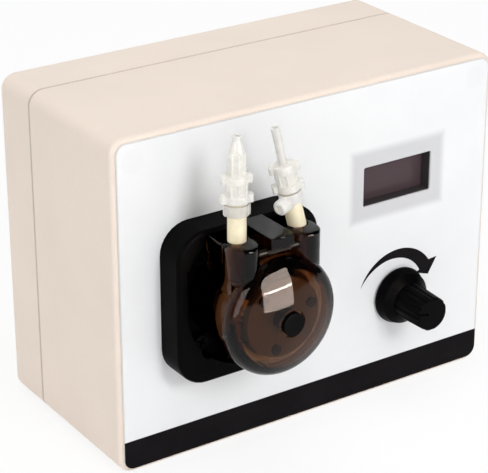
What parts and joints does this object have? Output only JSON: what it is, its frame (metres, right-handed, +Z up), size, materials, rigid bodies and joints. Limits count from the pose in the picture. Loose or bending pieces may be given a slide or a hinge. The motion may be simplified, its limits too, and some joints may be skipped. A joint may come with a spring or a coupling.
{
  "type": "peristaltic pump",
  "caption": "Bench peristaltic pump: boxy two-part case with a small display, a fluted knob and a smoked domed roller head with upright hose ends",
  "frame": {"origin": "under the middle of the case, on the face it stands on", "axes": "+Z up, +Y to the back, +X to the right seen from the front, where the display and the pump head are"},
  "size_m": [0.115, 0.0853, 0.0918],
  "materials": {
    "case_plastic": "fine moulded texture, cream",
    "printed_film": "white printed film with a black band",
    "black_plastic": "moulded black",
    "knob_plastic": "moulded black, fluted",
    "smoked_plastic": "polished smoked brown",
    "display_glass": "dark display glass",
    "circuit_board": "green solder mask",
    "steel_screw": "plated",
    "plated_steel": "turned and plated",
    "cast_aluminium": "cast",
    "motor_laminations": "dark laminated steel",
    "rotor_plastic": "moulded, slippery",
    "roller_plastic": "turned, slippery",
    "tube_rubber": "cream elastomer",
    "clear_plastic": "translucent natural",
    "white_plastic": "natural",
    "chip_plastic": "moulded",
    "capacitor_sleeve": "dark sleeve",
    "socket_plastic": "natural",
    "wire_insulation": "soft sleeve"
  },
  "bodies": {
    "pump": {"front_shell": "case_plastic", "rear_shell": "case_plastic", "case_screws": "steel_screw", "front_film": "printed_film", "display_bezel": "black_plastic", "display_panel": "display_glass", "display_board": "circuit_board", "display_screws": "steel_screw", "speed_control": "plated_steel", "control_nut": "plated_steel", "control_washer": "plated_steel", "pump_base": "black_plastic", "base_screws": "steel_screw", "pump_housing": "smoked_plastic", "head_plate": "black_plastic", "latch_pin": "plated_steel", "pump_tube": "tube_rubber", "connector_left": "clear_plastic", "connector_right": "clear_plastic", "clip_left": "white_plastic", "clip_right": "white_plastic", "motor_front_bell": "cast_aluminium", "motor_stator": "motor_laminations", "motor_rear_bell": "cast_aluminium", "motor_bearings": "plated_steel", "motor_screws": "steel_screw", "controller_board": "circuit_board", "board_screws": "steel_screw", "board_chips": "chip_plastic", "board_capacitors": "capacitor_sleeve", "driver_heatsink": "cast_aluminium", "wire_sockets": "socket_plastic", "power_jack": "black_plastic", "jack_pin": "plated_steel", "jack_nut": "plated_steel", "motor_wires": "wire_insulation", "display_wires": "wire_insulation", "knob_wires": "wire_insulation", "power_wires": "wire_insulation"},
    "rotor": {"motor_shaft": "plated_steel", "motor_core": "motor_laminations", "rotor": "rotor_plastic", "rotor_front_plate": "rotor_plastic", "rotor_nose": "black_plastic", "roller_pins": "plated_steel"},
    "roller_1": {"roller_1": "roller_plastic"},
    "roller_2": {"roller_2": "roller_plastic"},
    "roller_3": {"roller_3": "roller_plastic"},
    "knob": {"speed_knob": "knob_plastic", "knob_shaft": "plated_steel"},
    "latch": {"release_latch": "smoked_plastic"}
  },
  "joints": [
    {"name": "rotor_spin", "type": "hinge", "parent": "pump", "child": "rotor", "pos_m": [-0.0244, 0, 0.045], "axis": [0, -1, 0], "continuous": true},
    {"name": "roller_1_spin", "type": "hinge", "parent": "rotor", "child": "roller_1", "pos_m": [-0.01648, -0.0438, 0.04712], "axis": [0, -1, 0], "continuous": true},
    {"name": "roller_2_spin", "type": "hinge", "parent": "rotor", "child": "roller_2", "pos_m": [-0.0302, -0.0438, 0.0508], "axis": [0, -1, 0], "continuous": true},
    {"name": "roller_3_spin", "type": "hinge", "parent": "rotor", "child": "roller_3", "pos_m": [-0.02652, -0.0438, 0.03708], "axis": [0, -1, 0], "continuous": true},
    {"name": "knob_turn", "type": "hinge", "parent": "pump", "child": "knob", "pos_m": [0.0285, -0.034, 0.0276], "axis": [0, 1, 0], "range_deg": [-75, 225]},
    {"name": "latch_press", "type": "hinge", "parent": "pump", "child": "latch", "pos_m": [-0.0244, -0.0483, 0.0622], "axis": [-1, 0, 0], "range_deg": [0, 5], "stiffness_Nm_per_rad": 0.01, "springref_deg": -11.46}
  ],
  "couplings": [
    {"joint": "roller_1_spin", "follows": "rotor_spin", "ratio": -4.28},
    {"joint": "roller_2_spin", "follows": "rotor_spin", "ratio": -4.28},
    {"joint": "roller_3_spin", "follows": "rotor_spin", "ratio": -4.28}
  ]
}
